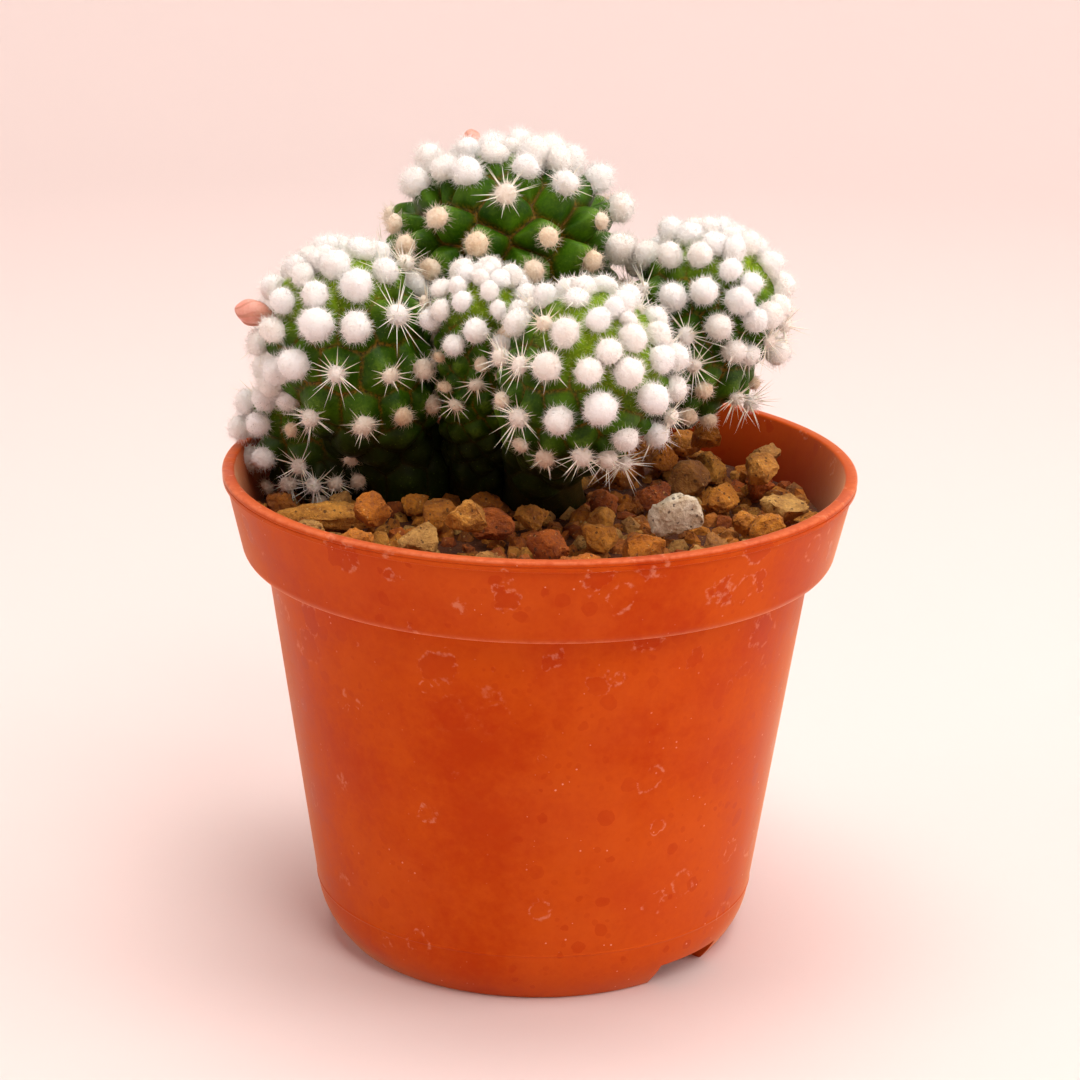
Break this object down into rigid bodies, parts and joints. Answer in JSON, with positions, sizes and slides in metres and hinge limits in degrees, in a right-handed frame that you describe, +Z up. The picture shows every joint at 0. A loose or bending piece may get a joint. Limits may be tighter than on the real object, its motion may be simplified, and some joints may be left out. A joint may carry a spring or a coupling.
{
  "type": "potted thimble cactus",
  "caption": "Clustering thimble cactus with white woolly tufts and pink buds, rooted in gravel-topped mix in a round tapered plastic nursery pot.",
  "frame": {"origin": "middle of the pot's foot ring, on the surface that it stands on", "axes": "+Z up along the pot's axis, +X to the right and -Y towards the viewer, who sees the front stem nearest"},
  "size_m": [0.09, 0.09, 0.1116],
  "materials": {
    "pot_plastic": "terracotta-orange injection-moulded plastic, semi-matt, with a dusty bloom and water marks",
    "potting_mix": "dark damp gritty cactus mix",
    "gravel": "rough ochre and rust-brown crushed pumice, matt",
    "pale_gravel": "rough pale speckled crushed stone, matt",
    "cactus_skin": "smooth waxy green plant skin with a soft sheen",
    "bud": "soft salmon-pink petals, closed",
    "wool": "white to cream woolly hair in dense round tufts",
    "spine": "fine ivory needles"
  },
  "bodies": {
    "root": {"pot": "pot_plastic", "potting_mix": "potting_mix", "gravel_bed": "gravel", "back_stem": "cactus_skin", "left_stem": "cactus_skin", "middle_stem": "cactus_skin", "front_stem": "cactus_skin", "low_left_stem": "cactus_skin", "right_stem": "cactus_skin", "left_bud": "bud", "top_bud": "bud", "long_stone": "gravel", "pale_stone": "pale_gravel", "stone_01": "gravel", "stone_02": "gravel", "stone_03": "gravel", "stone_04": "gravel", "stone_05": "gravel", "stone_06": "gravel", "stone_07": "gravel", "stone_08": "gravel", "stone_09": "gravel", "stone_10": "gravel", "stone_11": "gravel", "stone_12": "gravel", "stone_13": "gravel", "stone_14": "gravel", "stone_15": "gravel", "stone_16": "gravel", "stone_17": "gravel", "stone_18": "gravel", "stone_19": "gravel", "stone_20": "gravel", "stone_21": "gravel", "stone_22": "gravel", "stone_23": "gravel", "stone_24": "gravel", "stone_25": "gravel", "stone_26": "gravel", "stone_27": "gravel", "stone_28": "gravel", "stone_29": "gravel", "stone_30": "gravel", "stone_31": "gravel", "stone_32": "gravel", "stone_33": "gravel", "stone_34": "gravel", "stone_35": "gravel", "stone_36": "gravel", "stone_37": "gravel", "stone_38": "gravel", "stone_39": "gravel", "stone_40": "gravel", "stone_41": "gravel", "stone_42": "gravel", "stone_43": "gravel", "stone_44": "gravel", "stone_45": "gravel", "stone_46": "gravel"}
  },
  "joints": []
}
